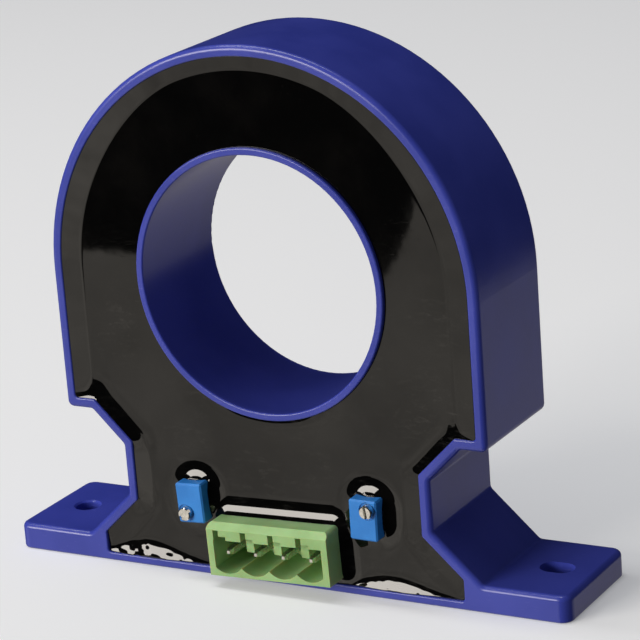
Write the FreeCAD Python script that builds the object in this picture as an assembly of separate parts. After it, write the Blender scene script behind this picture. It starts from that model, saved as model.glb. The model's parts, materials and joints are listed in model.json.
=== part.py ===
import FreeCAD, Part
import math
import os

os.makedirs("parts", exist_ok=True)

# Frame: X across the feet, Y through the window from the resin side to the closed back, Z up.
# The origin is in the middle of the base, half way through the case. Millimetres.

# Case
case_depth = 22.0
window_radius = 21.0
tube_wall = 1.2
case_wall = 1.8
back_wall = 2.0
floor_wall = 1.4
shoulder_height = 26.4
shoulder_width = 4.7
neck_half_width = 28.0
neck_top = 20.8
neck_bottom = 12.2
foot_thickness = 4.4
foot_root = 36.3
foot_length = 14.45
foot_pocket_gap = 3.3

# Edges of the case
foot_corner_radius = 2.0
body_corner_radius = 1.1
bend_radius = 1.0
outer_edge_radius = 0.9
base_edge_radius = 0.4
inner_corner_radius = 0.6
rim_inner_radius = 0.3
tube_edge_radius = 0.3
window_back_radius = 0.5

# Screw holes in the feet: round on the left, slotted on the right
hole_from_root = 7.7
hole_diameter = 4.2
slot_length = 5.8
hole_edge = 0.3

# Casting resin
resin_recess = 0.7

# Terminal header
way_count = 4
way_pitch = 5.08
header_middle = 0.6
pin_height = 6.3
header_end_margin = 3.4
header_proud = 4.4
header_depth = 12.0
header_below_pins = 3.95
header_above_pins = 4.95
header_bevel = 1.0
header_corner = 0.8
header_end_wall = 1.1
socket_depth = 9.0
channel_radius = 3.45
key_low = 2.2
key_high = 2.8
key_slot_top = 3.8
key_slot_offset = -1.7
key_slot_width = 1.0
key_step_offset = 0.1
rib_width = 1.4
rib_height = 3.0
rib_depth = 5.7
pin_side = 1.0
pin_tip_recess = 0.6
pin_taper = 0.25
pin_tip_length = 0.7
pin_tail = 1.5

# Circuit board, tilted a little in the case
board_tilt = 1.8
board_thickness = 1.6
board_edge_gap = 1.8
board_bottom = 2.7
board_height = 21.9
board_tube_gap = 3.2
board_corner = 1.0
lead_hole_clearance = 0.2

# Ring core and its air gap
core_thickness = 9.8
core_tube_gap = 2.0
core_wall_gap = 2.5
core_board_gap = 2.3
core_back_gap = 0.5
air_gap = 2.6
core_edge = 0.6

# Hall element in the air gap
hall_height = 4.1
hall_length = 3.0
hall_thickness = 1.5
hall_chamfer = 0.35
hall_lead_pitch = 1.27
hall_lead_side = 0.4
hall_lead_tail = 1.0

# Chips
amplifier_length = 4.9
amplifier_width = 3.9
amplifier_thickness = 1.5
amplifier_lead_count = 4
reference_length = 2.9
reference_width = 1.3
reference_thickness = 1.0
chip_lead_pitch = 1.27
reference_lead_pitch = 0.95
chip_lead_width = 0.4
chip_lead_thickness = 0.2
chip_lead_reach = 1.05
chip_lead_foot = 0.6
chip_standoff = 0.1

# Capacitor cans
can_radius = 2.5
can_length = 5.0
can_edge = 0.4
can_groove_height = 1.4
can_groove_radius = 0.25
can_base_side = 5.3
can_base_thickness = 0.6
can_base_corner = 1.0
can_end_gap = 3.8

# Diodes and chip parts
diode_length = 4.3
diode_width = 2.6
diode_thickness = 2.1
diode_clip_width = 1.5
diode_clip_thickness = 0.25
diode_clip_foot = 1.0
chip_length = 2.0
chip_width = 1.25
chip_end_gap = 1.8
resistor_thickness = 0.55
capacitor_thickness = 1.1

# Trimmers
trimmer_width = 4.85
trimmer_length = 6.7
trimmer_depth = 6.7
trimmer_proud = 2.2
trimmer_edge = 0.25
trimmer_wall = 0.6
trimmer_front_wall = 1.4
trimmer_base_thickness = 0.8
screw_across = 0.88
screw_along = 1.68
screw_radius = 1.1
screw_proud = 0.85
screw_edge = 0.15
screw_barrel_length = 1.3
screw_shank_radius = 0.55
screw_end_depth = 0.3
screw_slot_width = 0.5
screw_slot_depth = 0.55
screw_recess_radius = 1.5
screw_recess_depth = 0.3
running_clearance = 0.05
ring_section = 0.18
ring_clearance = 0.02
ring_place = 0.7
carriage_thickness = 1.2
carriage_clearance = 0.06
carriage_floor = 0.9
wiper_thickness = 0.15
wiper_width = 1.2
wiper_foot = 0.6
wiper_heel = 0.5
wiper_gap = 0.05
element_thickness = 0.5
element_margin = 0.2
trimmer_lead_radius = 0.25
trimmer_lead_across = -1.2
trimmer_lead_pitch = 2.4
trimmer_lead_tail = 1.0

# Where each trimmer stands: across, up, its lean and the turn of its screw slot, in degrees
zero_trimmer_x = -14.6
zero_trimmer_z = 12.95
zero_trimmer_lean = 2.9
zero_slot_turn = 35.0
span_trimmer_x = 17.2
span_trimmer_z = 13.8
span_trimmer_lean = -0.6
span_slot_turn = 100.0

# Planes along Y
front = -case_depth / 2
back = case_depth / 2
cavity_back = back - back_wall
resin_front = front + resin_recess
header_front = front - header_proud
board_front = header_front + header_depth
board_back = board_front + board_thickness
core_back = cavity_back - core_back_gap
core_front = board_back + core_board_gap
trimmer_front = front - trimmer_proud

# Sizes that follow from the others
tube_radius = window_radius + tube_wall
board_top = board_bottom + board_height
board_half_width = neck_half_width - case_wall - board_edge_gap
window_height = board_top + board_tube_gap + tube_radius
half_span = foot_root + foot_length
hole_x = foot_root + hole_from_root
foot_pocket_half_width = foot_root - foot_pocket_gap
core_inner_radius = tube_radius + core_tube_gap
core_outer_radius = core_inner_radius + core_thickness
body_radius = core_outer_radius + core_wall_gap + case_wall
header_length = (way_count - 1) * way_pitch + 2 * header_end_margin
header_top = pin_height + header_above_pins
can_x = board_half_width - can_end_gap
chip_x = board_half_width - chip_end_gap

# Parts on the board: how far across, and what share of the way up from the header to the board's top
amplifier_place = (3.4, 0.46)
reference_place = (9.0, 0.24)
can_places = ((-can_x, 0.75), (can_x, 0.69))
diode_places = ((-7.2, 0.78), (8.8, 0.78))
resistor_places = ((-9.0, 0.53), (-9.0, 0.35), (-6.0, 0.35), (12.6, 0.12), (-chip_x, 0.24), (-chip_x, 0.06))
capacitor_places = ((-6.0, 0.53), (-3.0, 0.18), (-11.8, 0.8))

along_y = FreeCAD.Vector(0, 1, 0)
near = 1e-4  # how close a corner or an edge has to be to the place it is looked for
past = 1.0  # how far a cut runs past what it cuts
half_turn = 180.0


def point(x, y, z):
    return FreeCAD.Vector(x, y, z)


def block(x0, x1, y0, y1, z0, z1):
    return Part.makeBox(x1 - x0, y1 - y0, z1 - z0, point(x0, y0, z0))


def rod(x, z, radius, y0, y1):
    """A round rod along Y."""
    return Part.makeCylinder(radius, y1 - y0, point(x, y0, z), along_y)


def prism(corners, y0, y1):
    """A prism along Y over corners given as (x, z)."""
    ring = [point(x, y0, z) for x, z in corners]
    face = Part.Face(Part.makePolygon(ring + ring[:1]))
    return face.extrude(point(0, y1 - y0, 0))


def edges_along_y(shape, places):
    """The straight edges along Y that pass through places given as (x, z)."""
    found = []
    for edge in shape.Edges:
        if not isinstance(edge.Curve, Part.Line):
            continue
        a, b = edge.Vertexes[0].Point, edge.Vertexes[-1].Point
        if abs(a.x - b.x) > near or abs(a.z - b.z) > near:
            continue
        if any(math.hypot(a.x - x, a.z - z) < near for x, z in places):
            found.append(edge)
    return found


def edges_on_y(shape, y, inside=None):
    """The edges that lie in the plane at y, and whose middle passes the test inside."""
    found = []
    for edge in shape.Edges:
        box = edge.BoundBox
        if abs(box.YMin - y) > near or abs(box.YMax - y) > near:
            continue
        if inside is None or inside(edge.CenterOfMass):
            found.append(edge)
    return found


def edges_on_z(shape, z):
    """The edges that lie in the plane at z."""
    return [e for e in shape.Edges if abs(e.BoundBox.ZMin - z) < near and abs(e.BoundBox.ZMax - z) < near]


def turned(shape, x, z, degrees):
    """A copy turned about an axis along Y at (x, z); positive lifts the +X side."""
    copy = shape.copy()
    copy.rotate(point(x, 0, z), along_y, -degrees)
    return copy


def moved(shape, x, y, z):
    copy = shape.copy()
    copy.translate(point(x, y, z))
    return copy


def turned_place(x, z, degrees):
    """Where (x, z) goes when it turns about the origin; positive lifts the +X side."""
    a = math.radians(degrees)
    return x * math.cos(a) - z * math.sin(a), x * math.sin(a) + z * math.cos(a)


def to_board(x, z):
    """The place on the board, from the middle of the pin row, of a place in the part's frame."""
    return turned_place(x - header_middle, z - pin_height, -board_tilt)


def on_board(shape):
    """A shape drawn about the middle of the pin row, placed on the tilted board."""
    return turned(moved(shape, header_middle, 0, pin_height), header_middle, pin_height, board_tilt)


def board_place(place):
    """A part's place from the middle of the pin row; its height is a share of the strip over the header."""
    x, share = place
    return x, header_above_pins + share * (board_top - header_top)


def mirrored(corners):
    """The corners again on the other side of X = 0, in the opposite order."""
    return [(-x, z) for x, z in reversed(corners)]


def shifted_line(a, b, distance):
    """The line a-b moved to its left by distance, as a point and a direction."""
    dx, dz = b[0] - a[0], b[1] - a[1]
    length = math.hypot(dx, dz)
    return (a[0] - dz / length * distance, a[1] + dx / length * distance), (dx, dz)


def crossing(line_a, line_b):
    """Where two lines, each a point and a direction, cross."""
    (ax, az), (adx, adz) = line_a
    (bx, bz), (bdx, bdz) = line_b
    t = ((bx - ax) * bdz - (bz - az) * bdx) / (adx * bdz - adz * bdx)
    return ax + t * adx, az + t * adz


def outer_side():
    """The right side of the case, from the end of its arch down to the base."""
    return [
        (body_radius, window_height),
        (body_radius, shoulder_height),
        (body_radius - shoulder_width, shoulder_height),
        (neck_half_width, neck_top),
        (neck_half_width, neck_bottom),
        (foot_root, foot_thickness),
        (half_span, foot_thickness),
        (half_span, 0.0),
    ]


def inner_side():
    """The right side of the cavity: the outer side moved in by the wall, then the pocket over the foot."""
    outer = outer_side()
    lines = [shifted_line(outer[i], outer[i + 1], -case_wall) for i in range(5)]
    pocket = ((foot_pocket_half_width, 0.0), (0.0, -1.0))
    floor = ((0.0, floor_wall), (1.0, 0.0))
    corners = [(body_radius - case_wall, window_height)]
    for line_a, line_b in zip(lines, lines[1:] + [pocket]):
        corners.append(crossing(line_a, line_b))
    corners.append(crossing(pocket, floor))
    return corners


def arched_prism(side, radius, y0, y1):
    """A prism along Y whose outline is an arch over the two mirrored sides."""
    right = [point(x, y0, z) for x, z in side]
    left = [point(x, y0, z) for x, z in mirrored(side)]
    ring = right + left
    edges = [Part.LineSegment(a, b).toShape() for a, b in zip(ring, ring[1:])]
    top = point(0, y0, window_height + radius)
    edges.append(Part.Arc(left[-1], top, right[0]).toShape())
    face = Part.Face(Part.Wire(edges))
    return face.extrude(point(0, y1 - y0, 0))


def both_sides(corners):
    return list(corners) + mirrored(corners)


def case_outside():
    """The outside of the case with its rounded corners and edges."""
    side = outer_side()
    shape = arched_prism(side, body_radius, front, back)
    upright = [e for e in shape.Edges
               if e.BoundBox.YLength < near and abs(abs(e.CenterOfMass.x) - half_span) < near]
    shape = shape.makeFillet(foot_corner_radius, upright)
    shape = shape.makeFillet(body_corner_radius, edges_along_y(shape, both_sides(side[1:2])))
    shape = shape.makeFillet(bend_radius, edges_along_y(shape, both_sides(side[2:6])))
    base = edges_on_z(shape, 0.0)
    shape = shape.makeFillet(base_edge_radius, base)
    above = foot_thickness - near
    sharp = edges_on_y(shape, front, lambda c: c.z > above) + edges_on_y(shape, back, lambda c: c.z > above)
    sharp += foot_top_edges(shape)
    return shape.makeFillet(outer_edge_radius, sharp)


def foot_top_edges(shape):
    """The edges round the ends of the feet at their top."""
    start = half_span - foot_corner_radius - near
    return [e for e in edges_on_z(shape, foot_thickness) if abs(e.CenterOfMass.x) > start]


def cavity():
    """The hollow of the case, past its open front."""
    side = inner_side()
    shape = arched_prism(side, body_radius - case_wall, front - case_wall, cavity_back)
    return shape.makeFillet(inner_corner_radius, edges_along_y(shape, both_sides(side[1:])))


def foot_slot(x, length, radius):
    """What is cut through a foot: a slot along X, or a round hole where it is as long as it is wide."""
    reach = length / 2 - radius
    top = neck_bottom
    if reach < near:
        return Part.makeCylinder(radius, top + past, point(x, 0, -past))
    ends = [Part.makeCylinder(radius, top + past, point(x + s * reach, 0, -past)) for s in (-1, 1)]
    middle = block(x - reach, x + reach, -radius, radius, -past, top)
    return ends[0].fuse([middle, ends[1]]).removeSplitter()


def hole_bevel(x, radius):
    """A small bevel round the top of a foot's round hole."""
    return Part.makeCone(radius, radius + hole_edge, hole_edge, point(x, 0, foot_thickness - hole_edge))


def housing():
    """The blue case: outer wall, closed back, window tube and two feet, moulded in one piece."""
    radius = hole_diameter / 2
    hollow = cavity().cut(rod(0, window_height, tube_radius, front - case_wall, cavity_back))
    shape = case_outside().cut(hollow)
    shape = shape.cut(rod(0, window_height, window_radius, front - past, back + past))
    shape = shape.makeFillet(rim_inner_radius, rim_inner_edges(shape))
    shape = shape.makeFillet(tube_edge_radius, round_edges(shape, front))
    shape = shape.makeFillet(window_back_radius, round_edges(shape, back))
    holes = [foot_slot(-hole_x, hole_diameter, radius), foot_slot(hole_x, slot_length, radius)]
    holes.append(hole_bevel(-hole_x, radius))
    return shape.cut(holes)


def rim_inner_edges(shape):
    """The edges of the cavity at the open front, apart from the tube's."""
    def off_tube(c):
        return math.hypot(c.x, c.z - window_height) > tube_radius + window_back_radius
    found = []
    for edge in edges_on_y(shape, front, off_tube):
        depths = [face.BoundBox.YMax for face in shape.ancestorsOfType(edge, Part.Face)]
        if any(abs(depth - cavity_back) < near for depth in depths):
            found.append(edge)
    return found


def round_edges(shape, y):
    """The full circles about the window's axis at y."""
    found = []
    for edge in edges_on_y(shape, y):
        if isinstance(edge.Curve, Part.Circle):
            centre = edge.Curve.Center
            off_axis = math.hypot(centre.x, centre.z - window_height)
            if off_axis < near and edge.Curve.Radius < tube_radius + near:
                found.append(edge)
    return found


def way_places():
    """Where the header's pins stand across X, from the middle of the row."""
    return [(i - (way_count - 1) / 2) * way_pitch for i in range(way_count)]


def header_outside():
    """The header's outer block, its top corners rounded and its top front edge bevelled."""
    half = header_length / 2
    shape = block(-half, half, header_front, board_front, -header_below_pins, header_above_pins)
    ends = edges_along_y(shape, [(s * half, header_above_pins) for s in (-1, 1)])
    shape = shape.makeFillet(header_corner, ends)
    low, top = header_above_pins - header_bevel, header_above_pins + header_bevel
    wedge = [(header_front - header_bevel, low - header_bevel), (header_front + 2 * header_bevel, top),
             (header_front - header_bevel, top)]
    ring = [point(-half - past, y, z) for y, z in wedge]
    face = Part.Face(Part.makePolygon(ring + ring[:1]))
    return shape.cut(face.extrude(point(2 * half + 2, 0, 0)))


def header_socket():
    """The hollow that the plug goes into: a round channel round each pin, keyed along the top."""
    half = header_length / 2 - header_end_wall
    y0, y1 = header_front - past, header_front + socket_depth
    ways = way_places()
    channels = [rod(x, 0, channel_radius, y0, y1) for x in ways]
    room = block(-half, half, y0, y1, -header_below_pins, key_low)
    lower = channels[0].fuse(channels[1:]).common(room)
    middle = block(-half, half, y0, y1, 0, key_low)
    pieces = [middle]
    for x in ways:
        slot_start = x + key_slot_offset - key_slot_width / 2
        pieces.append(block(slot_start, slot_start + key_slot_width, y0, y1, 0, key_slot_top))
        pieces.append(block(slot_start, x + key_step_offset, y0, y1, 0, key_high))
    return lower.fuse(pieces).removeSplitter()


def header_shroud():
    """The green header body, with a rib between each pair of ways at the bottom of its socket."""
    shape = header_outside().cut(header_socket())
    floor = header_front + socket_depth
    ways = way_places()
    for left, right in zip(ways, ways[1:]):
        middle = (left + right) / 2
        rib = block(middle - rib_width / 2, middle + rib_width / 2, floor - rib_depth, floor,
                    key_low - rib_height, key_low)
        shape = shape.fuse(rib)
    holes = [pin_bar(x, header_front, board_front + past) for x in ways]
    return on_board(shape.removeSplitter().cut(holes))


def pin_bar(x, y0, y1):
    side = pin_side / 2
    return block(x - side, x + side, y0, y1, -side, side)


def header_pin(x):
    """A square pin with a tapered tip, from inside the socket through the board."""
    tip = header_front + pin_tip_recess
    start = tip + pin_tip_length
    bar = pin_bar(x, start, board_back + pin_tail)
    wide, narrow = pin_side / 2, pin_side / 2 - pin_taper
    rings = []
    for y, s in ((start, wide), (tip, narrow)):
        ring = [point(x + a * s, y, b * s) for a, b in ((-1, -1), (1, -1), (1, 1), (-1, 1))]
        rings.append(Part.makePolygon(ring + ring[:1]))
    return on_board(bar.fuse(Part.makeLoft(rings, True, True)).removeSplitter())


def ring_core():
    """The gapped ring round the window tube."""
    shape = rod(0, window_height, core_outer_radius, core_front, core_back)
    shape = shape.cut(rod(0, window_height, core_inner_radius, core_front, core_back))
    shape = shape.makeChamfer(core_edge, edges_on_y(shape, core_front) + edges_on_y(shape, core_back))
    bottom = window_height - core_outer_radius - past
    gap = block(-air_gap / 2, air_gap / 2, core_front - past, core_back + past, bottom, window_height)
    return shape.cut(gap)


def gap_height():
    """The height of the middle of the air gap."""
    return window_height - (core_inner_radius + core_outer_radius) / 2


def hall_element():
    """The sensing element, standing in the air gap with its flat side across the field."""
    x, z = to_board(0, gap_height())
    middle = (core_front + core_back) / 2
    shape = block(x - hall_thickness / 2, x + hall_thickness / 2, middle - hall_length / 2,
                  middle + hall_length / 2, z - hall_height / 2, z + hall_height / 2)
    rear = [e for e in edges_on_y(shape, middle + hall_length / 2) if e.BoundBox.XLength < near]
    return on_board(shape.makeChamfer(hall_chamfer, rear))


def hall_leads():
    """The element's three straight leads, down to the board."""
    x, z = to_board(0, gap_height())
    start = board_front - hall_lead_tail
    end = (core_front + core_back) / 2 - hall_length / 2
    s = hall_lead_side / 2
    heights = [z + i * hall_lead_pitch for i in (-1, 0, 1)]
    return [on_board(block(x - s, x + s, start, end, h - s, h + s)) for h in heights]


def gull_lead(side, x, half_body, thickness):
    """A chip's bent lead: out of the body's side at half its height, down, and out along the board."""
    t = chip_lead_thickness
    out, up = chip_lead_reach, thickness / 2 + chip_standoff
    foot = out - chip_lead_foot
    path = [(0, up - t / 2), (foot, up - t / 2), (foot, 0), (out, 0), (out, t), (foot + t, t),
            (foot + t, up + t / 2), (0, up + t / 2)]
    x0 = x - chip_lead_width / 2
    ring = [point(x0, board_front - h, side * (half_body + d)) for d, h in path]
    face = Part.Face(Part.makePolygon(ring + ring[:1]))
    return face.extrude(point(chip_lead_width, 0, 0))


def chip_body(place, length, width, thickness):
    x, z = board_place(place)
    top = board_front - chip_standoff
    return on_board(block(x - length / 2, x + length / 2, top - thickness, top, z - width / 2, z + width / 2))


def chip_leads(place, sides, width, thickness):
    """A chip's leads: sides maps -1 and 1 to the lead places along that side."""
    x, z = board_place(place)
    leads = []
    for side, offsets in sides:
        leads += [moved(gull_lead(side, offset, width / 2, thickness), x, 0, z) for offset in offsets]
    return Part.makeCompound([on_board(lead) for lead in leads])


def spaced(count, pitch):
    return [(i - (count - 1) / 2) * pitch for i in range(count)]


def can_base(place):
    """A capacitor's plastic base, with two corners cut off."""
    x, z = board_place(place)
    half = can_base_side / 2
    shape = block(x - half, x + half, board_front - can_base_thickness, board_front, z - half, z + half)
    cut_corners = edges_along_y(shape, [(x - half, z - half), (x - half, z + half)])
    return on_board(shape.makeChamfer(can_base_corner, cut_corners))


def can(place):
    """A capacitor's metal can, with its rolled groove near the base."""
    x, z = board_place(place)
    start = board_front - can_base_thickness
    shape = rod(x, z, can_radius, start - can_length, start)
    shape = shape.makeFillet(can_edge, edges_on_y(shape, start - can_length))
    groove = Part.makeTorus(can_radius, can_groove_radius, point(x, start - can_groove_height, z), along_y)
    return on_board(shape.cut(groove))


def diode_body(place):
    x, z = board_place(place)
    t, half, wide = diode_clip_thickness, diode_length / 2, diode_width / 2
    top = board_front - diode_thickness
    return on_board(block(x - half, x + half, top, board_front - t, z - wide, z + wide))


def diode_clips(place):
    """The two metal ends of a diode, folded under its body."""
    x, z = board_place(place)
    t, half, wide = diode_clip_thickness, diode_length / 2, diode_clip_width / 2
    clips = []
    for side in (-1, 1):
        near, far = sorted((x + side * half, x + side * (half + t)))
        wall = block(near, far, board_front - diode_thickness / 2, board_front, z - wide, z + wide)
        near, far = sorted((x + side * (half - diode_clip_foot), x + side * (half + t)))
        foot = block(near, far, board_front - t, board_front, z - wide, z + wide)
        clips.append(on_board(wall.fuse(foot).removeSplitter()))
    return Part.makeCompound(clips)


def chip_parts(places, thickness):
    """A group of chip resistors or chip capacitors on the board's front."""
    half, wide = chip_length / 2, chip_width / 2
    chips = []
    for x, z in [board_place(place) for place in places]:
        chips.append(on_board(block(x - half, x + half, board_front - thickness, board_front,
                                    z - wide, z + wide)))
    return Part.makeCompound(chips)


def trimmer_block():
    """A trimmer's whole outline, about its own middle, its screw face at Y = 0."""
    half, long = trimmer_width / 2, trimmer_length / 2
    shape = block(-half, half, 0, trimmer_depth, -long, long)
    corners = [(a * half, b * long) for a in (-1, 1) for b in (-1, 1)]
    return shape.makeChamfer(trimmer_edge, edges_on_y(shape, 0) + edges_along_y(shape, corners))


def trimmer_room():
    """The half width, half length and end planes of the room inside a trimmer."""
    return (trimmer_width / 2 - trimmer_wall, trimmer_length / 2 - trimmer_wall,
            trimmer_front_wall, trimmer_depth - trimmer_base_thickness)


def trimmer_case():
    half, long, start, _ = trimmer_room()
    shape = trimmer_block().cut(block(-half, half, start, trimmer_depth, -long, long))
    hole = rod(screw_across, screw_along, screw_radius + running_clearance, -past, start + past)
    recess = rod(screw_across, screw_along, screw_recess_radius, -past, screw_recess_depth)
    return shape.cut([hole, recess])


def trimmer_lead_places():
    return [(trimmer_lead_across, i * trimmer_lead_pitch) for i in (1, 0, -1)]


def trimmer_base():
    """The plate that closes the back of a trimmer, with a socket for the end of the screw."""
    half, long, _, end = trimmer_room()
    shape = block(-half, half, end, trimmer_depth, -long, long)
    socket = rod(screw_across, screw_along, screw_shank_radius + running_clearance, end,
                 end + screw_end_depth + running_clearance)
    stop = trimmer_depth + past
    holes = [rod(x, z, trimmer_lead_radius, end - past, stop) for x, z in trimmer_lead_places()]
    return shape.cut([socket] + holes)


def groove_radius():
    return screw_radius + running_clearance - 2 * ring_clearance - 2 * ring_section


def trimmer_screw(slot_turn):
    """The slotted adjusting screw: barrel with a ring groove, and a shank down to the base."""
    end = trimmer_room()[3]
    barrel = rod(screw_across, screw_along, screw_radius, -screw_proud, screw_barrel_length)
    barrel = barrel.makeChamfer(screw_edge, edges_on_y(barrel, -screw_proud))
    half_groove = ring_section + ring_clearance
    start, stop = ring_place - half_groove, ring_place + half_groove
    groove = rod(screw_across, screw_along, screw_radius + past, start, stop)
    groove = groove.cut(rod(screw_across, screw_along, groove_radius(), start, stop))
    shank = rod(screw_across, screw_along, screw_shank_radius, screw_barrel_length, end + screw_end_depth)
    half, wide = screw_radius + past, screw_slot_width / 2
    slot = block(-half, half, -screw_proud - past, screw_slot_depth - screw_proud, -wide, wide)
    slot = moved(turned(slot, 0, 0, slot_turn), screw_across, 0, screw_along)
    return barrel.cut([groove, slot]).fuse(shank).removeSplitter()


def trimmer_ring():
    """The rubber ring in the screw's groove."""
    middle = screw_radius + running_clearance - ring_clearance - ring_section
    return Part.makeTorus(middle, ring_section, point(screw_across, ring_place, screw_along), along_y)


def carriage_middle():
    _, _, start, end = trimmer_room()
    return (start + end) / 2


def trimmer_carriage():
    """The nut that travels along the screw and carries the wiper."""
    half, long, _, _ = trimmer_room()
    middle = carriage_middle()
    gap = carriage_clearance
    shape = block(-half + gap, half - gap, middle - carriage_thickness / 2, middle + carriage_thickness / 2,
                  carriage_floor, long - gap)
    radius = screw_shank_radius + running_clearance
    return shape.cut(rod(screw_across, screw_along, radius, middle - past, middle + past))


def trimmer_wiper():
    """The bent spring strip from the carriage down to the element."""
    long = trimmer_room()[1]
    middle = carriage_middle()
    t = wiper_thickness
    low = -long + element_thickness + wiper_gap
    path = [(-wiper_heel, carriage_floor), (-wiper_heel, carriage_floor - t), (0, carriage_floor - t),
            (0, low + t), (t, low), (wiper_foot - t, low), (wiper_foot, low + t), (wiper_foot - t, low + t),
            (t, low + t), (t, carriage_floor)]
    ring = [point(-wiper_width, middle + y, z) for y, z in path]
    face = Part.Face(Part.makePolygon(ring + ring[:1]))
    return face.extrude(point(wiper_width, 0, 0))


def trimmer_element():
    """The ceramic plate that the wiper runs on."""
    half, long, start, end = trimmer_room()
    return block(-half + element_margin, half - element_margin, start + element_margin, end - element_margin,
                 -long, -long + element_thickness)


def trimmer_lead(place):
    end = trimmer_room()[3]
    x, z = place
    return rod(x, z, trimmer_lead_radius, end, board_back + trimmer_lead_tail - trimmer_front)


def place_trimmer(shape, x, z, lean):
    """A trimmer's piece, drawn about its own middle, at its place in the case."""
    return moved(turned(shape, 0, 0, lean), x, trimmer_front, z)


def trimmers():
    """Both trimmers: name, place, lean with the half turn of the lower one, and the turn of the slot."""
    return (("zero_trimmer", zero_trimmer_x, zero_trimmer_z, zero_trimmer_lean + half_turn, zero_slot_turn),
            ("span_trimmer", span_trimmer_x, span_trimmer_z, span_trimmer_lean, span_slot_turn))


def trimmer_pieces(name, x, z, lean, slot_turn):
    """All the pieces of one trimmer, by node name."""
    pieces = {
        "case": trimmer_case(),
        "base": trimmer_base(),
        "screw": trimmer_screw(slot_turn),
        "o_ring": trimmer_ring(),
        "carriage": trimmer_carriage(),
        "wiper": trimmer_wiper(),
        "element": trimmer_element(),
    }
    for i, place in enumerate(trimmer_lead_places()):
        pieces["lead_%d" % (i + 1)] = trimmer_lead(place)
    return {name + "_" + key: place_trimmer(shape, x, z, lean) for key, shape in pieces.items()}


def circuit_board(through):
    """The board, with a hole for each pin and lead that goes through it."""
    shape = block(-board_half_width, board_half_width, board_front, board_back,
                  board_bottom - pin_height, board_top - pin_height)
    corners = [(s * board_half_width, z - pin_height) for s in (-1, 1) for z in (board_bottom, board_top)]
    shape = shape.makeFillet(board_corner, edges_along_y(shape, corners))
    return on_board(shape).cut(through)


def lead_holes():
    """What is drilled out of the board, each a little wider than its lead."""
    r = trimmer_lead_radius + lead_hole_clearance
    ends = (board_front - past, board_back + past)
    holes = []
    for _, x, z, lean, _ in trimmers():
        for place in trimmer_lead_places():
            dx, dz = turned_place(place[0], place[1], lean)
            holes.append(rod(x + dx, z + dz, r, *ends))
    pin_r = pin_side / math.sqrt(2) + lead_hole_clearance
    for x in way_places():
        holes.append(on_board(rod(x, 0, pin_r, *ends)))
    hall_r = hall_lead_side / math.sqrt(2) + lead_hole_clearance
    x, z = to_board(0, gap_height())
    for i in (-1, 0, 1):
        holes.append(on_board(rod(x, z + i * hall_lead_pitch, hall_r, *ends)))
    return holes


def casting_resin(inner):
    """The resin: all of the case's hollow behind its surface that nothing else fills."""
    shape = cavity().common(block(-half_span, half_span, resin_front, cavity_back, 0,
                                  window_height + body_radius))
    shape = shape.cut(rod(0, window_height, tube_radius, front - past, cavity_back + past))
    return shape.cut(inner)


def all_pieces():
    """Every piece of the sensor, by node name."""
    pieces = {"housing": housing(), "header_shroud": header_shroud()}
    for i, x in enumerate(way_places()):
        pieces["header_pin_%d" % (i + 1)] = header_pin(x)
    pieces["circuit_board"] = circuit_board(lead_holes())
    pieces["ring_core"] = ring_core()
    pieces["hall_element"] = hall_element()
    for i, lead in enumerate(hall_leads()):
        pieces["hall_lead_%d" % (i + 1)] = lead
    pieces["amplifier_chip"] = chip_body(amplifier_place, amplifier_length, amplifier_width,
                                         amplifier_thickness)
    row = spaced(amplifier_lead_count, chip_lead_pitch)
    pieces["amplifier_leads"] = chip_leads(amplifier_place, ((-1, row), (1, row)), amplifier_width,
                                           amplifier_thickness)
    pieces["reference_chip"] = chip_body(reference_place, reference_length, reference_width,
                                         reference_thickness)
    pair = spaced(2, 2 * reference_lead_pitch)
    pieces["reference_leads"] = chip_leads(reference_place, ((-1, pair), (1, [0.0])), reference_width,
                                           reference_thickness)
    for i, place in enumerate(can_places):
        pieces["capacitor_can_%d" % (i + 1)] = can(place)
        pieces["capacitor_base_%d" % (i + 1)] = can_base(place)
    for i, place in enumerate(diode_places):
        pieces["diode_body_%d" % (i + 1)] = diode_body(place)
        pieces["diode_clips_%d" % (i + 1)] = diode_clips(place)
    pieces["chip_resistors"] = chip_parts(resistor_places, resistor_thickness)
    pieces["chip_capacitors"] = chip_parts(capacitor_places, capacitor_thickness)
    for trimmer in trimmers():
        pieces.update(trimmer_pieces(*trimmer))
    pieces["casting_resin"] = casting_resin(resin_neighbours(pieces))
    return pieces


def resin_neighbours(pieces):
    """What the resin flows round: the header and the trimmers as closed blocks, and all the other pieces."""
    closed = [on_board(header_outside())]
    closed += [place_trimmer(trimmer_block(), x, z, lean) for _, x, z, lean, _ in trimmers()]
    for name, shape in pieces.items():
        inside_trimmer = "trimmer" in name and "lead" not in name
        if name not in ("housing", "header_shroud") and not inside_trimmer:
            closed += shape.Solids
    return closed


for node, shape in all_pieces().items():
    shape.exportStep("parts/" + node + ".step")
    print(node, len(shape.Solids), shape.isValid(), round(shape.Volume, 2))
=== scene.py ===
import json
import math
import bpy
import numpy as np
from mathutils import Matrix, Vector


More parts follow.
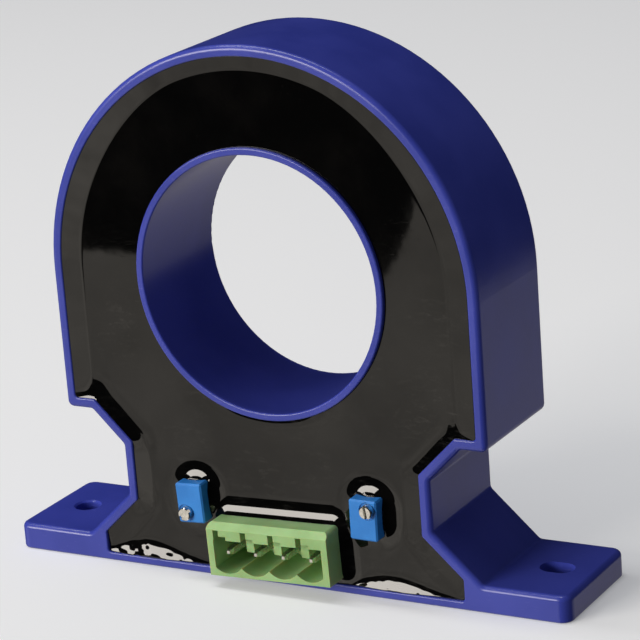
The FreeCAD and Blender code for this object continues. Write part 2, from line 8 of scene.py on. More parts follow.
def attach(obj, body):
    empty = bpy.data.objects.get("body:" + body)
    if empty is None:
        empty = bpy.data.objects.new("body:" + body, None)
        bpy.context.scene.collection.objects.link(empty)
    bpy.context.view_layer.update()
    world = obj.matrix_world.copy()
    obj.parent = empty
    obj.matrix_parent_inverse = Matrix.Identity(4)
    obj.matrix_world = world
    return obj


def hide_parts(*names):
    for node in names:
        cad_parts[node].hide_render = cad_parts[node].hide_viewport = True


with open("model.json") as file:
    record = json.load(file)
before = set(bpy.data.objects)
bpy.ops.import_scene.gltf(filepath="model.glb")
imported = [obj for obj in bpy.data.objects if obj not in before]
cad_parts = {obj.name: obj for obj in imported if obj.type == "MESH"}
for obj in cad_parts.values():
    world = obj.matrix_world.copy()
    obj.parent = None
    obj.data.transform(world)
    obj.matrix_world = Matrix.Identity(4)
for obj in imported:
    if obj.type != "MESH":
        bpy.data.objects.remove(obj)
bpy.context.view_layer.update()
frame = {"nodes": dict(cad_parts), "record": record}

nodes = frame["nodes"]
print("frame loaded:", len(nodes), "pieces")

mm = 0.001


# A number on its way through a material, with the usual operators
class Flow:
    def __init__(self, look, socket):
        self.look = look
        self.socket = socket

    def calc(self, operation, *others):
        return self.look.add("ShaderNodeMath", {"operation": operation}, dict(enumerate((self,) + others)))

    def __add__(self, other):
        return self.calc("ADD", other)

    def __sub__(self, other):
        return self.calc("SUBTRACT", other)

    def __mul__(self, other):
        return self.calc("MULTIPLY", other)

    def __rsub__(self, other):
        return self.calc("MULTIPLY_ADD", -1.0, other)

    def __radd__(self, other):
        return self if isinstance(other, int) and other == 0 else self + other

    __rmul__ = __mul__

    def __neg__(self):
        return self.calc("MULTIPLY", -1.0)

    # 0 below low, 1 above high, and a soft step between
    def step(self, low, high):
        return self.look.add("ShaderNodeMapRange", {"interpolation_type": "SMOOTHSTEP"},
                             {"Value": self, "From Min": low, "From Max": high})


# The shading nodes of one material or world
class Look:
    def __init__(self, owner):
        owner.use_nodes = True
        self.owner = owner
        self.tree = owner.node_tree
        self.tree.nodes.clear()

    # One node: its type, its settings, then the values or links of its sockets
    def add(self, kind, settings=None, sockets=None, out=0):
        node = self.tree.nodes.new(kind)
        for key, value in (settings or {}).items():
            setattr(node, key, value)
        for key, value in (sockets or {}).items():
            if isinstance(value, Flow):
                self.tree.links.new(value.socket, node.inputs[key])
            else:
                node.inputs[key].default_value = value
        return Flow(self, node.outputs[out])

    def place(self, kind="Object"):
        return self.add("ShaderNodeTexCoord", out=kind)

    # The object's own coordinates, stretched or turned for grain and scratches
    def turned(self, scale=(1.0, 1.0, 1.0), angles=(0.0, 0.0, 0.0)):
        return self.add("ShaderNodeMapping", None,
                        {"Vector": self.place(), "Scale": scale, "Rotation": angles})

    def along(self, axis, kind="Object"):
        return self.add("ShaderNodeSeparateXYZ", None, {0: self.place(kind)}, out=axis)

    # Cloudy noise, 0 to 1, with patches about size metres across
    def noise(self, size, detail=3.0, rough=0.5, vector=None, bend=0.0):
        return self.add("ShaderNodeTexNoise", None,
                        {"Vector": vector or self.place(), "Scale": 1.0 / size, "Detail": detail,
                         "Roughness": rough, "Distortion": bend})

    # Distance to the nearest of scattered points about size metres apart
    def specks(self, size):
        return self.add("ShaderNodeTexVoronoi", None, {"Vector": self.place(), "Scale": 1.0 / size})

    def mix(self, factor, colourA, colourB):
        sockets = {0: factor}
        for key, colour in ((6, colourA), (7, colourB)):
            sockets[key] = colour if isinstance(colour, Flow) else (*colour, 1.0)
        return self.add("ShaderNodeMix", {"data_type": "RGBA"}, sockets, out=2)

    # A colour times a number
    def brighter(self, colour, times):
        return self.add("ShaderNodeVectorMath", {"operation": "SCALE"}, {0: colour, "Scale": times})

    def bump(self, height, distance):
        return self.add("ShaderNodeBump", None, {"Height": height, "Distance": distance})

    # The surface itself; a tuple is a colour
    def surface(self, sockets):
        values = {key: (*value, 1.0) if isinstance(value, tuple) else value for key, value in sockets.items()}
        return self.show("ShaderNodeOutputMaterial", self.add("ShaderNodeBsdfPrincipled", None, values))

    def show(self, kind, shader):
        self.tree.links.new(shader.socket, self.tree.nodes.new(kind).inputs["Surface"])
        return self.owner


def newLook(name):
    return Look(bpy.data.materials.new(name))


# Where the noise turns into clouds or scratches, and how rough and how deep a scratch is
mouldedSteps = {"cloud": (0.3, 0.7), "scratch": (0.62, 0.75), "scratchRough": 0.08, "scratchDepth": 0.5}


# A moulded plastic: faint clouding, a fine tool grain and handling scratches
def moulded(name, look):
    m = newLook(name)
    clouds = m.noise(look["cloudSize"])
    grain = m.noise(look["grainSize"], 2.0)
    scratches = m.noise(look["scratchSize"], 2.0, 0.6, m.turned(look["scratchRun"], look["scratchTurn"]), 0.4)
    marks = scratches.step(*mouldedSteps["scratch"])
    colour = m.mix(clouds.step(*mouldedSteps["cloud"]), look["dark"], look["light"])
    colour = m.mix(marks * look["scratchFade"], colour, look["worn"])
    rough = look["rough"] + (clouds - 0.5) * look["roughSpread"] + marks * mouldedSteps["scratchRough"]
    height = grain + marks * -mouldedSteps["scratchDepth"]
    return m.surface({
        "Base Color": colour, "Roughness": rough, "IOR": look["ior"],
        "Normal": m.bump(height, look["grainDepth"]),
        "Coat Weight": look.get("coat", 0.0), "Coat Roughness": look.get("coatRough", 0.25),
        "Subsurface Weight": look.get("seeThrough", 0.0), "Subsurface Scale": look.get("seeDepth", 1 * mm),
    })


caseLook = {
    "dark": (0.034, 0.050, 0.350), "light": (0.048, 0.066, 0.420), "worn": (0.12, 0.13, 0.50),
    "rough": 0.30, "roughSpread": 0.12, "ior": 1.42, "coat": 0.28, "coatRough": 0.20,
    "cloudSize": 14 * mm, "grainSize": 0.35 * mm, "grainDepth": 0.010 * mm,
    "scratchSize": 1.6 * mm, "scratchRun": (1.0, 6.0, 9.0), "scratchTurn": (0.3, 0.5, 0.2),
    "scratchFade": 0.35,
}
headerLook = {
    "dark": (0.300, 0.500, 0.200), "light": (0.370, 0.585, 0.255), "worn": (0.52, 0.70, 0.40),
    "rough": 0.32, "roughSpread": 0.10, "ior": 1.50, "seeThrough": 0.45, "seeDepth": 1.6 * mm,
    "cloudSize": 5 * mm, "grainSize": 0.20 * mm, "grainDepth": 0.006 * mm,
    "scratchSize": 0.8 * mm, "scratchRun": (1.0, 5.0, 8.0), "scratchTurn": (0.1, 0.2, 0.4),
    "scratchFade": 0.25,
}
trimmerLook = {
    "dark": (0.026, 0.215, 0.660), "light": (0.034, 0.255, 0.740), "worn": (0.20, 0.42, 0.75),
    "rough": 0.34, "roughSpread": 0.10, "ior": 1.50,
    "cloudSize": 3 * mm, "grainSize": 0.15 * mm, "grainDepth": 0.005 * mm,
    "scratchSize": 0.6 * mm, "scratchRun": (1.0, 5.0, 8.0), "scratchTurn": (0.6, 0.2, 0.1),
    "scratchFade": 0.25,
}
blackLook = {
    "dark": (0.016, 0.016, 0.017), "light": (0.030, 0.030, 0.031), "worn": (0.10, 0.10, 0.10),
    "rough": 0.55, "roughSpread": 0.12, "ior": 1.50,
    "cloudSize": 2 * mm, "grainSize": 0.08 * mm, "grainDepth": 0.006 * mm,
    "scratchSize": 0.5 * mm, "scratchRun": (1.0, 5.0, 8.0), "scratchTurn": (0.2, 0.1, 0.5),
    "scratchFade": 0.2,
}
blackCeramicLook = dict(blackLook, dark=(0.010, 0.010, 0.011), light=(0.020, 0.020, 0.021), rough=0.28)
tanCeramicLook = dict(blackLook, dark=(0.44, 0.32, 0.20), light=(0.58, 0.45, 0.30), worn=(0.7, 0.6, 0.45),
                      rough=0.5)
rubberLook = dict(blackLook, dark=(0.030, 0.028, 0.026), light=(0.055, 0.050, 0.046), rough=0.75)
boardLook = dict(blackLook, dark=(0.012, 0.115, 0.035), light=(0.020, 0.165, 0.055), worn=(0.12, 0.30, 0.12),
                 rough=0.30, cloudSize=4 * mm, grainSize=0.5 * mm)


# A metal with fine drawing lines along Y and dull patches
def drawn(name, look):
    m = newLook(name)
    lines = m.noise(look["lineSize"], 2.0, 0.6, m.turned(look["lineRun"]))
    clouds = m.noise(look["cloudSize"], 3.0)
    colour = m.mix(clouds.step(*look["dullStep"]), look["bright"], look["dull"])
    rough = look["rough"] + (clouds - 0.4) * look["cloudRough"] + (lines - 0.5) * look["lineRough"]
    return m.surface({
        "Base Color": colour, "Metallic": 1.0, "Roughness": rough,
        "Normal": m.bump(lines, look["lineDepth"]),
    })


tinLook = {"bright": (0.78, 0.77, 0.73), "dull": (0.60, 0.59, 0.56), "rough": 0.26,
           "lineSize": 0.5 * mm, "lineRun": (8.0, 0.6, 8.0), "lineDepth": 0.004 * mm, "lineRough": 0.12,
           "cloudSize": 0.6 * mm, "cloudRough": 0.2, "dullStep": (0.35, 0.7)}
screwLook = dict(tinLook, bright=(0.86, 0.85, 0.80), dull=(0.66, 0.65, 0.61), rough=0.22)
canLook = dict(tinLook, bright=(0.80, 0.81, 0.82), dull=(0.62, 0.63, 0.64), rough=0.3)
brassLook = dict(tinLook, bright=(0.80, 0.60, 0.26), dull=(0.55, 0.40, 0.17), rough=0.25)
coreLook = dict(tinLook, bright=(0.36, 0.37, 0.39), dull=(0.22, 0.22, 0.24), rough=0.4, cloudSize=4 * mm)


# The resin: black and glossy, with slow waves, a thin film, dust, wiped smears and hairline scratches
resinLook = {
    "dark": (0.0014, 0.0014, 0.0014), "light": (0.0034, 0.0032, 0.0030), "dust": (0.06, 0.056, 0.050),
    "smear": (0.034, 0.033, 0.031), "rough": 0.020, "ior": 1.52,
    "waveSize": 6 * mm, "waveDepth": 0.004 * mm,
    "filmSize": 12 * mm, "filmStep": (0.42, 0.75), "filmRough": 0.012,
    "dustSize": 1.1 * mm, "dustStep": (0.03, 0.075), "dustFade": 0.35, "dustRough": 0.2,
    "dustyPatch": 7 * mm, "dustyStep": (0.52, 0.62),
    "scratchSize": 2.2 * mm, "scratchRun": (1.0, 1.0, 14.0), "scratchTurn": (0.0, 0.5, 0.0),
    "scratchStep": (0.66, 0.72), "scratchRough": 0.03, "scratchDepth": 0.01,
    "smearSize": 2.6 * mm, "smearRun": (1.0, 1.0, 3.5), "smearTurn": (0.0, -0.12, 0.0),
    "smearStep": (0.50, 0.72), "smearFade": 0.42, "smearPatch": 9 * mm, "smearPatchStep": (0.40, 0.65),
    "cleanAbove": 62 * mm, "wipedBelow": 44 * mm,  # heights on the face
}


def resinMaterial():
    look = resinLook
    m = newLook("blackResin")
    waves = m.noise(look["waveSize"], 2.0, 0.45)
    film = m.noise(look["filmSize"], 4.0, 0.6).step(*look["filmStep"])
    dust = 1 - m.specks(look["dustSize"]).step(*look["dustStep"])
    dust = dust * m.noise(look["dustyPatch"], 2.0).step(*look["dustyStep"])
    scratchRun = m.turned(look["scratchRun"], look["scratchTurn"])
    hairlines = m.noise(look["scratchSize"], 2.0, 0.55, scratchRun, 0.5).step(*look["scratchStep"])
    wiped = m.noise(look["smearSize"], 4.0, 0.65, m.turned(look["smearRun"], look["smearTurn"]), 1.2)
    wiped = wiped.step(*look["smearStep"]) * m.noise(look["smearPatch"], 2.0).step(*look["smearPatchStep"])
    wiped = wiped * m.along("Z").step(look["cleanAbove"], look["wipedBelow"])
    colour = m.mix(film, look["dark"], look["light"])
    colour = m.mix(wiped * look["smearFade"], colour, look["smear"])
    colour = m.mix(dust * look["dustFade"], colour, look["dust"])
    rough = look["rough"] + film * look["filmRough"] + dust * look["dustRough"]
    rough = rough + hairlines * look["scratchRough"]
    return m.surface({
        "Base Color": colour, "Roughness": rough, "IOR": look["ior"],
        "Normal": m.bump(waves + hairlines * -look["scratchDepth"], look["waveDepth"]),
    })


materials = {
    "case_plastic": moulded("casePlastic", caseLook),
    "black_resin": resinMaterial(),
    "green_plastic": moulded("headerPlastic", headerLook),
    "blue_plastic": moulded("trimmerPlastic", trimmerLook),
    "black_plastic": moulded("blackMoulding", blackLook),
    "black_ceramic": moulded("blackCeramic", blackCeramicLook),
    "tan_ceramic": moulded("tanCeramic", tanCeramicLook),
    "ring_rubber": moulded("ringRubber", rubberLook),
    "board_laminate": moulded("boardLaminate", boardLook),
    "tinned_metal": drawn("tinnedMetal", tinLook),
    "nickel_plated_brass": drawn("screwMetal", screwLook),
    "can_aluminium": drawn("canMetal", canLook),
    "wiper_brass": drawn("wiperMetal", brassLook),
    "core_steel": drawn("coreSteel", coreLook),
}
for part in frame["record"]["subparts"]:
    holder = nodes[part["node"]]
    holder.data.materials.clear()
    holder.data.materials.append(materials[part["material_slot"]])
print("materials set:", len(materials))


# Small rounded edges on moulded pieces: each edge sharper than the angle is cut and rounded in two steps
softEdges = {"header_shroud": 0.16 * mm, "zero_trimmer_case": 0.08 * mm, "span_trimmer_case": 0.08 * mm}
sharpAngle = math.radians(40)
joinedGap = 0.001 * mm  # corners nearer than this are one corner


def softenEdges(piece, width):
    piece.modifiers.new("joinedCorners", "WELD").merge_threshold = joinedGap
    edges = piece.modifiers.new("softEdges", "BEVEL")
    edges.width, edges.segments = width, 2
    edges.limit_method, edges.angle_limit = "ANGLE", sharpAngle
    evened = piece.modifiers.new("evenShading", "WEIGHTED_NORMAL")
    evened.keep_sharp = True


for name, width in softEdges.items():
    softenEdges(nodes[name], width)
print("edges softened:", len(softEdges))


# The resin's face: its level, the way it climbs on walls and parts, and its slow unevenness
resin = {
    "frontPlane": -11.0, "recess": 0.7, "depth": 18.0,
    "around": 780, "across": 120, "down": 4,
    # degrees round the tube where the mesh lines start that run to the top, the side and each corner
    "tubeAngles": (90.0, 0.0, -27.0, -33.0, -53.0, -77.0, -80.5, -83.0),
    "tubeSink": 0.05, "tubeReach": 0.8, "tubeFrom": 17.5, "tubeTo": 22.0,  # only below the window
    # a climb of even slope: its slope, its width and how softly it starts
    "wallSlope": 0.15, "wallTop": 2.2, "wallSide": 3.5, "wallSoft": 0.10, "sideFrom": 12.0, "sideTo": 30.0,
    "neckSlope": 0.09, "neckFades": 2.0, "footSlope": 0.075, "footSoft": 0.55,
    # the two low pools: each one's middle across, its height and its spread
    "poolSlope": 0.36, "poolSoft": 0.26, "poolLeast": -0.3, "pools": ((-25.2, 2.8, 7.8), (20.5, 2.3, 7.4)),
    "ripple": (0.12, 0.05), "dimple": -27.3, "dimpleDepth": 0.5, "dimpleSpread": 0.7,
    "waveHigh": 0.003, "waveFine": 0.0012,
    "partSlope": 0.20, "partWidth": 2.5, "partSoft": 0.30,
    # a climb that dies away: its rise at the wall and its reach; a pair is left side, right side.
    # The ledge is the shoulder and the slanted line below it
    "ledgeRise": (0.44, 0.26), "ledgeReach": 1.20, "shoulderSteep": 1.3,
    "partRise": 0.50, "partReach": 0.70,
    "rimLeft": 0.03, "rimOpens": 0.6,  # how far below the case's front edge it stays: at the wall, and per mm
}
caseShape = {
    "arch": 38.3, "axisHeight": 50.0, "shoulder": 26.4, "shoulderWidth": 4.7, "neck": 28.0,
    "neckTop": 20.8, "neckBottom": 12.2, "foot": 4.4, "footRoot": 36.3,
    "wall": 1.8, "floor": 1.4, "pocket": 33.0, "corner": 0.6, "tube": 22.2,
}
# What stands in the resin: its middle across and up, half sizes, lean in degrees, where the resin lies behind
# it, how far the resin rounds its corners, and how far inside its walls the resin turns back, from and to
standing = {
    "zeroTrimmer": (-14.6, 12.95, 2.425, 3.35, 2.9, -3.5, 2.3, 0.25, 0.42),
    "spanTrimmer": (17.2, 13.8, 2.425, 3.35, -0.6, -3.5, 2.3, 0.25, 0.42),
    "header": (0.6, 6.625, 11.02, 4.625, 1.8, -3.6, 1.5, 0.40, 0.65),
}


# Corners of the hollow on the right: the outside's lines moved in by the wall, each cut with the next
def hollowCorners():
    c = caseShape
    outside = np.array([(c["arch"], c["axisHeight"]), (c["arch"], c["shoulder"]),
                        (c["arch"] - c["shoulderWidth"], c["shoulder"]), (c["neck"], c["neckTop"]),
                        (c["neck"], c["neckBottom"]), (c["footRoot"], c["foot"])])
    run = outside[1:] - outside[:-1]
    side = np.stack([run[:, 1], -run[:, 0]], 1) / np.linalg.norm(run, axis=1)[:, None]
    start = outside[:-1] + side * c["wall"]
    start = np.vstack([start, (c["pocket"], 0.0), (0.0, c["floor"])])
    run = np.vstack([run, (0.0, -1.0), (-1.0, 0.0)])
    gap = start[1:] - start[:-1]
    cross = run[:-1, 0] * run[1:, 1] - run[:-1, 1] * run[1:, 0]
    share = (gap[:, 0] * run[1:, 1] - gap[:, 1] * run[1:, 0]) / cross
    return start[:-1] + share[:, None] * run[:-1]


# A closed path: the arch, then the right side's corners down, along the floor and up on the left,
# each corner rounded by a curve that runs smoothly into both of its lines
def hollowOutline(count):
    c = caseShape
    right = hollowCorners()
    corners = np.vstack([(c["arch"] - c["wall"], c["axisHeight"]), right, right[::-1] * (-1, 1),
                         (-c["arch"] + c["wall"], c["axisHeight"])])
    before, here, after = corners[:-2], corners[1:-1], corners[2:]
    into = (before - here) / np.linalg.norm(before - here, axis=1)[:, None]
    away = (after - here) / np.linalg.norm(after - here, axis=1)[:, None]
    half = np.arccos(np.clip((into * away).sum(1), -1, 1)) / 2
    reach = c["corner"] / np.tan(half)
    turn = np.linspace(0, 1, 7)[None, :, None]
    a = (here + into * reach[:, None])[:, None]
    b = (here + away * reach[:, None])[:, None]
    mid = here[:, None]
    bends = (1 - turn) ** 2 * a + 2 * turn * (1 - turn) * mid + turn ** 2 * b
    angle = np.linspace(math.pi, 0, 181)
    radius = c["arch"] - c["wall"]
    arch = np.stack([radius * np.cos(angle), c["axisHeight"] + radius * np.sin(angle)], 1)
    path = np.vstack([arch[90:], bends.reshape(-1, 2), arch[:91]])
    length = np.concatenate([[0], np.cumsum(np.linalg.norm(np.diff(path, axis=0), axis=1))])
    wanted = np.linspace(0, length[-1], count, endpoint=False)
    return np.stack([np.interp(wanted, length, path[:, i]) for i in (0, 1)], 1)


# Distance from each point to one straight stretch
def distanceToLine(x, z, start, end):
    run = np.subtract(end, start)
    t = np.clip(((x - start[0]) * run[0] + (z - start[1]) * run[1]) / (run @ run), 0, 1)
    return np.hypot(x - start[0] - t * run[0], z - start[1] - t * run[1])


# Half sizes less the distance from a turned block's middle, along each of its own directions
def insideBlock(x, z, block):
    middleX, middleZ, halfX, halfZ, lean = block[:5]
    a = math.radians(lean)
    along = (x - middleX) * math.cos(a) + (z - middleZ) * math.sin(a)
    upright = (z - middleZ) * math.cos(a) - (x - middleX) * math.sin(a)
    return halfX - np.abs(along), halfZ - np.abs(upright)


# Distance outside a block with well rounded corners, so that the resin's climb is round too
def distanceToBlock(x, z, block):
    inX, inZ = insideBlock(x, z, block)
    corner = block[6]
    outside = np.hypot(np.maximum(corner - inX, 0), np.maximum(corner - inZ, 0)) - corner
    return np.maximum(outside, -block[7])


# A climb that dies away: rise times e to the power of minus distance over reach
def dying(distance, rise, reach):
    return rise * np.exp(-distance / reach)


# A climb of even slope inside its width: slope times the softened part of width less distance
def ramp(distance, slope, width, soft):
    return slope * soft * np.log1p(np.exp((width - distance) / soft))


# The lesser of two distances, rounded off where they are alike
def softLeast(a, b):
    return (np.maximum(a, 0.001) ** -4 + np.maximum(b, 0.001) ** -4) ** -0.25


# 0 up to low, 1 from high on, and 3 t squared less 2 t cubed between them
def easing(value, low, high):
    t = np.clip((value - low) / (high - low), 0, 1)
    return t * t * (3 - 2 * t)


# How far the resin climbs, the cube root of the summed cubes of its climbs on each wall and part.
# Both sides have the right side's walls, met by the absolute distance across
def resinRise(x, z):
    r = resin
    side, up = np.abs(x), z - caseShape["axisHeight"]
    hollow = caseShape["arch"] - caseShape["wall"]
    ring = np.hypot(x, up)
    arch = np.maximum(np.where(up > 0, hollow - ring, hollow - side), 0)
    corners = hollowCorners()
    shoulder = r["shoulderSteep"] * distanceToLine(side, z, corners[0], corners[1])
    ledge = softLeast(shoulder, distanceToLine(side, z, corners[1], corners[2]))
    neck = distanceToLine(side, z, corners[2], corners[3])
    slope = distanceToLine(side, z, corners[3], corners[4])
    besideNeck = easing(z, corners[2][1] + r["neckFades"], corners[2][1] - r["neckFades"])
    floor = np.maximum(z - caseShape["floor"], 0)
    width = r["wallTop"] + (r["wallSide"] - r["wallTop"]) * easing(side, r["sideFrom"], r["sideTo"])
    left = easing(-x, -r["sideFrom"], r["sideFrom"])
    ledgeRise, ripple = (r[key][0] * left + r[key][1] * (1 - left) for key in ("ledgeRise", "ripple"))
    pool = r["poolLeast"] + sum(high * np.exp(-((x - middle) / spread) ** 2)
                                for middle, high, spread in r["pools"])
    uneven = 1 + ripple * np.sin(2.1 * x + 1.7 * np.sin(0.7 * x)) * np.sin(3.1 * z + 0.5 * x)
    uneven = uneven - r["dimpleDepth"] * np.exp(-((x - r["dimple"]) / r["dimpleSpread"]) ** 2)
    climbs = [
        ramp(arch, r["wallSlope"], width, r["wallSoft"]), dying(ledge, ledgeRise, r["ledgeReach"]),
        besideNeck * ramp(neck, r["neckSlope"], width, r["wallSoft"]),
        ramp(slope, r["footSlope"], width, r["footSoft"]),
        ramp(floor, r["poolSlope"] * uneven, pool, r["poolSoft"]),
    ]
    for block in standing.values():
        away = distanceToBlock(x, z, block)
        climbs.append(ramp(away, r["partSlope"], r["partWidth"], r["partSoft"])
                      + dying(away, r["partRise"], r["partReach"]))
    total = sum(climb ** 3 for climb in climbs) ** (1 / 3)
    nearest = np.minimum.reduce([arch, ledge, neck, slope, floor])
    limit = r["recess"] - r["rimLeft"] + r["rimOpens"] * nearest
    below = easing(-up, r["tubeFrom"], r["tubeTo"])
    sink = below * dying(np.maximum(ring - caseShape["tube"], 0), r["tubeSink"], r["tubeReach"])
    waves = (r["waveHigh"] * np.sin(0.21 * x + 1.3) * np.cos(0.17 * z + 0.4)
             + r["waveFine"] * np.sin(0.43 * x - 0.31 * z))
    return np.minimum(total, limit) - sink + waves


# A ring-shaped solid: round it runs the outline, across it the face from the window's tube to the outer
# wall, then back along that wall, across the hidden rear and forward along the tube
def resinPiece():
    r = resin
    outline = hollowOutline(r["around"])
    corners = hollowCorners()
    marks = np.vstack([(0, caseShape["axisHeight"] + caseShape["arch"] - caseShape["wall"]),
                       (caseShape["arch"] - caseShape["wall"], caseShape["axisHeight"]), corners])
    at = np.array([np.argmin(np.hypot(*(outline - p).T)) for p in marks]) / r["around"]
    angles = np.array(r["tubeAngles"])
    share = np.arange(r["around"]) / r["around"]
    keys = np.concatenate([at, [0.5], 1 - at[:0:-1], [1.0]])
    turns = np.concatenate([angles, [-90.0], -180 - angles[:0:-1], [-270.0]])
    turn = np.radians(np.interp(share, keys, turns))
    inner = np.stack([caseShape["tube"] * np.cos(turn),
                      caseShape["axisHeight"] + caseShape["tube"] * np.sin(turn)], 1)
    w = np.linspace(0, 1, r["across"])
    t = 0.5 * w + 0.5 * (1 - np.cos(math.pi * w)) / 2
    flat = inner[None] * (1 - t[:, None, None]) + outline[None] * t[:, None, None]
    x, z = flat[..., 0], flat[..., 1]
    face = r["frontPlane"] + r["recess"] - resinRise(x, z)
    for block in standing.values():
        back, _, turnsFrom, turnsTo = block[5:]
        share = easing(np.minimum(*insideBlock(x, z, block)), turnsFrom, turnsTo)
        face = face * (1 - share) + back * share
    rear = r["frontPlane"] + r["recess"] + r["depth"]
    down = np.linspace(0, 1, r["down"] + 2)[1:]
    outerX, outerZ = np.repeat(x[-1:], len(down), 0), np.repeat(z[-1:], len(down), 0)
    outerY = face[-1:] * (1 - down[:, None]) + rear * down[:, None]
    innerX, innerZ = np.repeat(x[:1], len(down), 0), np.repeat(z[:1], len(down), 0)
    innerY = (face[:1] * (1 - down[:, None]) + rear * down[:, None])[::-1]
    grid = np.stack([np.vstack([x, outerX, innerX]), np.vstack([face, outerY, innerY]),
                     np.vstack([z, outerZ, innerZ])], -1)
    return gridPiece("resinBody", grid * mm, "black_resin")


# A grid that closes on itself both ways becomes a mesh of quads
def gridPiece(name, grid, slotName):
    rows, columns = grid.shape[:2]
    index = np.arange(rows * columns).reshape(rows, columns)
    below, right = np.roll(index, -1, 0), np.roll(index, -1, 1)
    corner = np.roll(below, -1, 1)
    quads = np.stack([index, right, corner, below], -1).reshape(-1, 4)
    mesh = bpy.data.meshes.new(name)
    mesh.from_pydata(grid.reshape(-1, 3), [], quads.tolist())
    mesh.polygons.foreach_set("use_smooth", np.ones(len(quads), bool))
    mesh.materials.append(materials[slotName])
    mesh.update()
    piece = bpy.data.objects.new(name, mesh)
    bpy.context.scene.collection.objects.link(piece)
    return piece


resinBody = resinPiece()
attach(resinBody, "sensor")
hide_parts("casting_resin")
print("resin poured")


# The studio: a pale floor, soft lamps, and a dark room that only reflections see
studio = {
    "floorColour": (0.84, 0.85, 0.86), "floorGlow": 0.24, "floorReturn": (0.35, 0.35, 0.35), "floorSize": 8.0,
    "floorPatch": 0.12, "floorDim": 0.97, "floorRough": 0.6, "floorGrain": 0.8 * mm, "grainDepth": 0.01 * mm,
    "backdrop": (0.86, 0.87, 0.88), "roomLight": (0.15, 0.15, 0.16),
    "mirroredFloor": (0.74, 0.69, 0.62), "mirroredBehind": (0.38, 0.36, 0.36),
    "mirroredRoom": (0.008, 0.008, 0.009),
    "mottle": 0.9, "mottleSize": 0.035,
    # the dark room's lower edge, in degrees above the horizon by azimuth to the left of the front
    "edgeAt": (28.7, -16.1), "edgeRise": 0.18, "edgeFall": 1.5, "edgeBend": 1.5, "edgeTop": -14.4,
    "edgeSoft": 0.06, "glow": 1.45, "glowFrom": 28.0, "glowTo": 21.0,  # the floor there is nearer the lamp
    "rightFrom": 8.0, "rightTo": 2.0, "leftFrom": 80.0, "leftTo": 95.0, "sideDrop": 60.0,
    "behindFrom": 100.0, "behindTo": 130.0,
}


def stagePlane(name, corners, material):
    mesh = bpy.data.meshes.new(name)
    mesh.from_pydata(corners, [], [(0, 1, 2, 3)])
    mesh.materials.append(material)
    plane = bpy.data.objects.new(name, mesh)
    bpy.context.scene.collection.objects.link(plane)
    return plane


# How much a ray is one that looks: from the camera, or mirrored, or through glass
def lookingRay(m, *kinds):
    return sum(m.add("ShaderNodeLightPath", out="Is " + kind + " Ray") for kind in kinds)


# The floor is pale to rays that look at it and returns less light to the object
def floorMaterial():
    m = newLook("paleFloor")
    mottle = m.noise(studio["floorPatch"], 3.0)
    seen = lookingRay(m, "Camera", "Glossy", "Transmission")
    dimmed = tuple(studio["floorDim"] * c for c in studio["floorColour"])
    colour = m.mix(mottle, studio["floorColour"], dimmed)
    return m.surface({
        "Base Color": m.mix(seen, studio["floorReturn"], colour),
        "Roughness": studio["floorRough"] + mottle * 0.1, "Specular IOR Level": 0.2,
        "Normal": m.bump(m.noise(studio["floorGrain"]), studio["grainDepth"]),
        "Emission Color": m.mix(seen, (0.0, 0.0, 0.0), studio["floorColour"]),
        "Emission Strength": studio["floorGlow"],
    })


def buildFloor():
    half = studio["floorSize"] / 2
    floor = stagePlane("floor", [(-half, -half, 0), (half, -half, 0), (half, half, 0), (-half, half, 0)],
                       floorMaterial())
    floor.visible_glossy = False


# Each lamp: azimuth to the left of the front and height in degrees, distance and size in metres, power,
# colour
lamps = {
    "frontSoftbox": (31.0, 15.0, 1.6, (1.04, 0.56), 22.5, (1.0, 0.94, 0.87)),
    "topStrip": (90.0, 74.0, 1.25, (0.12, 0.90), 5.2, (1.0, 1.0, 1.0)),
    "edgeStrip": (58.0, 54.0, 1.30, (0.50, 0.10), 1.1, (1.0, 1.0, 1.0)),
}
lampAim = Vector((0.0, 0.0, 0.045))


def addLamp(name, azimuth, height, distance, size, power, colour):
    data = bpy.data.lights.new(name, "AREA")
    data.shape = "RECTANGLE"
    data.size, data.size_y = size
    data.energy = power
    data.color = colour
    lamp = bpy.data.objects.new(name, data)
    a, e = math.radians(azimuth), math.radians(height)
    away = Vector((-math.sin(a) * math.cos(e), -math.cos(a) * math.cos(e), math.sin(e)))
    lamp.location = lampAim + away * distance
    lamp.rotation_mode = "QUATERNION"
    lamp.rotation_quaternion = (-away).to_track_quat("-Z", "Y")
    bpy.context.scene.collection.objects.link(lamp)


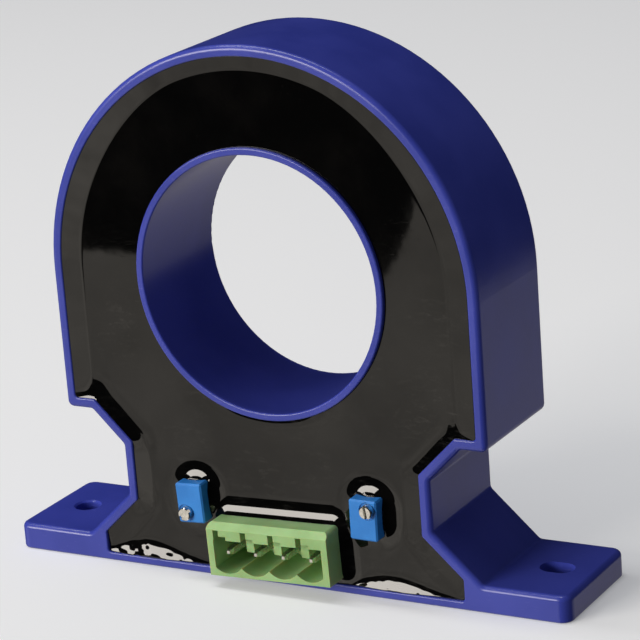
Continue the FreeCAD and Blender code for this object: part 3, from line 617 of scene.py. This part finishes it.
# Mirrored rays see a pale floor up to its far edge and a dark room above it; the edge is low in front
def buildWorld():
    world = bpy.data.worlds.new("studio")
    bpy.context.scene.world = world
    m = Look(world)
    toX, toY, toZ = (m.along(axis, "Generated") for axis in "XYZ")
    azimuth = (-toX).calc("ARCTAN2", -toY) * (180 / math.pi)
    height = toZ.calc("ARCSINE") * (180 / math.pi)
    behind = azimuth.calc("ABSOLUTE").step(studio["behindFrom"], studio["behindTo"])
    at, level = studio["edgeAt"]
    leftward = azimuth - at
    rising = leftward * studio["edgeRise"] + level
    rightward = (-leftward).calc("MAXIMUM", 0.0)
    falling = rightward * studio["edgeFall"] + rightward.calc("POWER", 4.0) * studio["edgeBend"] + level
    falling = falling.calc("MINIMUM", studio["edgeTop"])
    edge = rising.calc("MAXIMUM", falling) * (1 - behind) + behind * studio["edgeTop"]
    left = azimuth.step(studio["leftFrom"], studio["leftTo"])
    right = azimuth.step(studio["rightFrom"], studio["rightTo"])
    above = height - edge + (left + right) * (1 - behind) * studio["sideDrop"]
    above = above.step(-studio["edgeSoft"], studio["edgeSoft"])
    nearer = 1 + azimuth.step(studio["glowFrom"], studio["glowTo"]) * (studio["glow"] - 1)
    floor = m.mix(behind, m.brighter(studio["mirroredFloor"], nearer), studio["mirroredBehind"])
    mottle = m.noise(studio["mottleSize"], 3.0, 0.6, m.place("Generated")) - 0.5
    floor = m.brighter(floor, 1 + mottle * studio["mottle"])
    mirrored = m.mix(above, floor, studio["mirroredRoom"])
    lit = m.mix(lookingRay(m, "Glossy", "Transmission"), studio["roomLight"], mirrored)
    shade = m.mix(lookingRay(m, "Camera"), lit, studio["backdrop"])
    m.show("ShaderNodeOutputWorld", m.add("ShaderNodeBackground", None, {"Color": shade}))


# The camera stands where the photograph was taken: place in metres, angles in degrees
view = {
    "place": (0.21931, -0.370, 0.17091), "yaw": 30.125, "pitch": 16.817, "roll": -4.357,
    "lens": 157.97, "film": 36.0, "near": 0.01, "far": 50.0,
}


def buildCamera():
    yaw, pitch, roll = (math.radians(view[key]) for key in ("yaw", "pitch", "roll"))
    ahead = Vector((-math.sin(yaw) * math.cos(pitch), math.cos(yaw) * math.cos(pitch), -math.sin(pitch)))
    right = Vector((math.cos(yaw), math.sin(yaw), 0.0))
    up = right.cross(ahead)
    right, up = (math.cos(roll) * right + math.sin(roll) * up, math.cos(roll) * up - math.sin(roll) * right)
    data = bpy.data.cameras.new("photoView")
    data.lens = view["lens"]
    data.sensor_width = view["film"]
    data.clip_start, data.clip_end = view["near"], view["far"]
    camera = bpy.data.objects.new("photoView", data)
    camera.matrix_world = Matrix((right, up, -ahead)).transposed().to_4x4()
    camera.location = view["place"]
    bpy.context.scene.collection.objects.link(camera)
    bpy.context.scene.camera = camera


buildFloor()
buildWorld()
buildCamera()
for name, settings in lamps.items():
    addLamp(name, *settings)
bpy.context.scene.view_settings.view_transform = "Standard"
print("studio lit")
